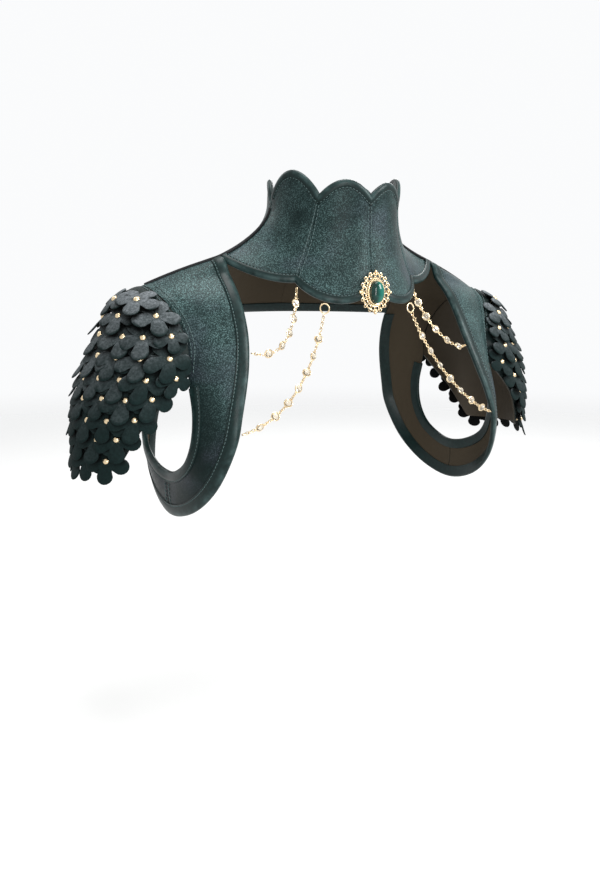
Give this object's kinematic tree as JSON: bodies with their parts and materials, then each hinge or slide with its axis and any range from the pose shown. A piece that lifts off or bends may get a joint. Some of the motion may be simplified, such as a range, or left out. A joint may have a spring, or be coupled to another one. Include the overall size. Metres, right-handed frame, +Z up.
{
  "type": "pauldron harness with collar",
  "caption": "Leather pauldron harness: scalloped gored collar, open shoulder sides, caps of overlapping studded flowers, bead strands and an oval brooch.",
  "frame": {"origin": "middle of the base of the wearer's neck, under the collar", "axes": "+Z up along the wearer's body, the wearer faces -Y, the wearer's left is +X"},
  "size_m": [0.4804, 0.176, 0.2934],
  "materials": {
    "dark_green_leather": "satin, mottled",
    "green_binding": "satin",
    "green_suede": "matte",
    "black_piping": "satin",
    "champagne_glass": "gloss",
    "pale_gold": "polished",
    "green_stone": "gloss"
  },
  "bodies": {
    "root": {"back_placket": "dark_green_leather", "brooch_cabochon": "green_stone", "brooch_setting": "pale_gold", "collar_hem_binding": "green_binding", "collar_top_binding": "green_binding", "left_armhole_binding": "green_binding", "left_back_gore": "dark_green_leather", "left_back_side_gore": "dark_green_leather", "left_edge_binding": "green_binding", "left_flower_cap": "green_suede", "left_front_gore": "dark_green_leather", "left_long_strand": "champagne_glass", "left_piping": "black_piping", "left_short_strand": "champagne_glass", "left_shoulder_back": "dark_green_leather", "left_shoulder_front": "dark_green_leather", "left_side_gore": "dark_green_leather", "left_yoke": "dark_green_leather", "left_yoke_binding": "green_binding", "right_armhole_binding": "green_binding", "right_back_gore": "dark_green_leather", "right_back_side_gore": "dark_green_leather", "right_edge_binding": "green_binding", "right_flower_cap": "green_suede", "right_front_gore": "dark_green_leather", "right_long_strand": "champagne_glass", "right_piping": "black_piping", "right_short_strand": "champagne_glass", "right_shoulder_back": "dark_green_leather", "right_shoulder_front": "dark_green_leather", "right_side_gore": "dark_green_leather", "right_yoke": "dark_green_leather", "right_yoke_binding": "green_binding"}
  },
  "joints": []
}
